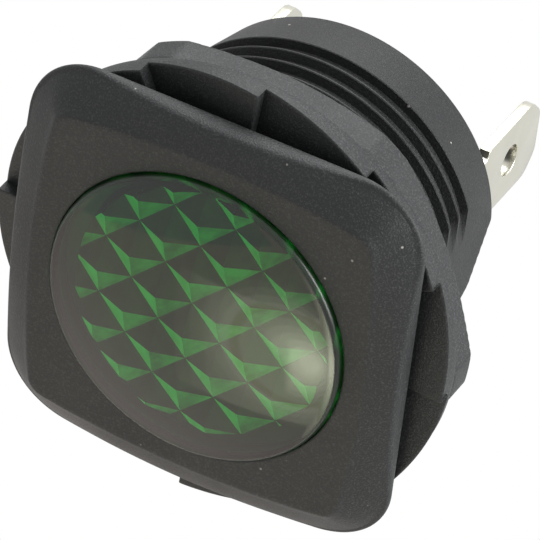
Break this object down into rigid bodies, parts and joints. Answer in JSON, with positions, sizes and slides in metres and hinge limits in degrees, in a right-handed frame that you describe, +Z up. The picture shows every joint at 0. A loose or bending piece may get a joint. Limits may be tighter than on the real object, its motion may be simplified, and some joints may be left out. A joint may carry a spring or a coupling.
{
  "type": "panel pilot light",
  "caption": "Panel pilot light with a square bezel, a round domed prism lens, a ribbed barrel with flats, a toothed hexagon lock nut and rear tab terminals.",
  "frame": {"origin": "on the barrel's axis in the plane of the bezel's back face, which lies against the panel", "axes": "the lens faces -Y, the barrel and tabs point to +Y, +Z is up, the tabs stand side by side along X"},
  "size_m": [0.0344, 0.0348, 0.0344],
  "materials": {
    "black_plastic": "black moulded plastic with a fine spark-eroded grain",
    "green_lens": "clear green moulded plastic, polished face, pyramid pits behind",
    "nut_plastic": "black moulded plastic with a fine grain",
    "tinned_brass": "tin-plated brass strip, bare brass on some cut edges",
    "lamp_glass": "clear lamp glass",
    "lead_wire": "tinned wire"
  },
  "bodies": {
    "light": {"housing": "black_plastic", "lens": "green_lens", "terminal_right": "tinned_brass", "terminal_left": "tinned_brass", "lamp": "lamp_glass", "lead_right": "lead_wire", "lead_left": "lead_wire"},
    "nut": {"lock_nut": "nut_plastic"}
  },
  "joints": [
    {"name": "nut_travel", "type": "slide", "parent": "light", "child": "nut", "axis": [0, 1, 0], "range_m": [-0.0005, 0.012]}
  ]
}
